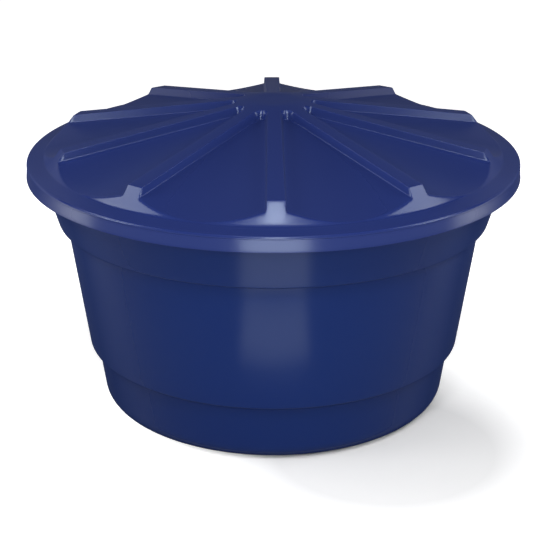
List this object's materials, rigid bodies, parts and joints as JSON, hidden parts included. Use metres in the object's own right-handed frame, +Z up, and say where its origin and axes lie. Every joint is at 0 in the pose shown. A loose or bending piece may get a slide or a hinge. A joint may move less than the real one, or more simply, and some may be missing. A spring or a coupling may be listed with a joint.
{
  "type": "livestock water tank",
  "caption": "Round covered stock-water tank in tapered bands with a lift-off lid of radial ribs and sunk panels, float valve inlet, overflow, outlet and drain at the back.",
  "frame": {"origin": "centre of the tank's base, where it stands", "axes": "+Z up along the tank's axis; -Y is the front, towards one rib of the lid; the pipe fittings are on the +Y side"},
  "size_m": [1.6164, 1.6164, 1.0161],
  "materials": {
    "tank_plastic": "satin dark blue polyethylene",
    "lid_plastic": "satin dark blue polyethylene",
    "fitting_plastic": "black polypropylene",
    "cap_plastic": "black polypropylene",
    "gasket_rubber": "black rubber",
    "brass": "cast and turned brass",
    "pin_steel": "stainless steel",
    "float_plastic": "orange blow-moulded plastic"
  },
  "bodies": {
    "tank": {"tank_shell": "tank_plastic", "overflow_flange": "fitting_plastic", "overflow_gasket": "gasket_rubber", "overflow_nut": "fitting_plastic", "outlet_flange": "fitting_plastic", "outlet_gasket": "gasket_rubber", "outlet_nut": "fitting_plastic", "drain_flange": "fitting_plastic", "drain_gasket": "gasket_rubber", "drain_nut": "fitting_plastic", "float_valve_body": "brass", "inlet_inner_washer": "gasket_rubber", "inlet_outer_washer": "gasket_rubber", "inlet_nut": "brass", "float_pivot_pin": "pin_steel"},
    "lid": {"lid_shell": "lid_plastic"},
    "float_arm": {"float_lever": "brass", "float_rod": "brass", "float_ball": "float_plastic", "float_lock_nut": "brass"},
    "plunger": {"float_valve_plunger": "brass", "float_valve_washer": "gasket_rubber"},
    "cap": {"drain_cap": "cap_plastic"}
  },
  "joints": [
    {"name": "lid_lift", "type": "slide", "parent": "tank", "child": "lid", "axis": [0, 0, 1], "range_m": [0, 0.35]},
    {"name": "float_swing", "type": "hinge", "parent": "tank", "child": "float_arm", "pos_m": [0, 0.68256, 0.728], "axis": [-1, 0, 0], "range_deg": [0, 36]},
    {"name": "plunger_slide", "type": "slide", "parent": "tank", "child": "plunger", "axis": [0, 1, 0], "range_m": [0, 0.0106]},
    {"name": "drain_cap_off", "type": "slide", "parent": "tank", "child": "cap", "axis": [-0.5, 0.866, 0], "range_m": [0, 0.03]}
  ],
  "couplings": [
    {"joint": "plunger_slide", "follows": "float_swing", "m_per_rad": 0.016722}
  ]
}
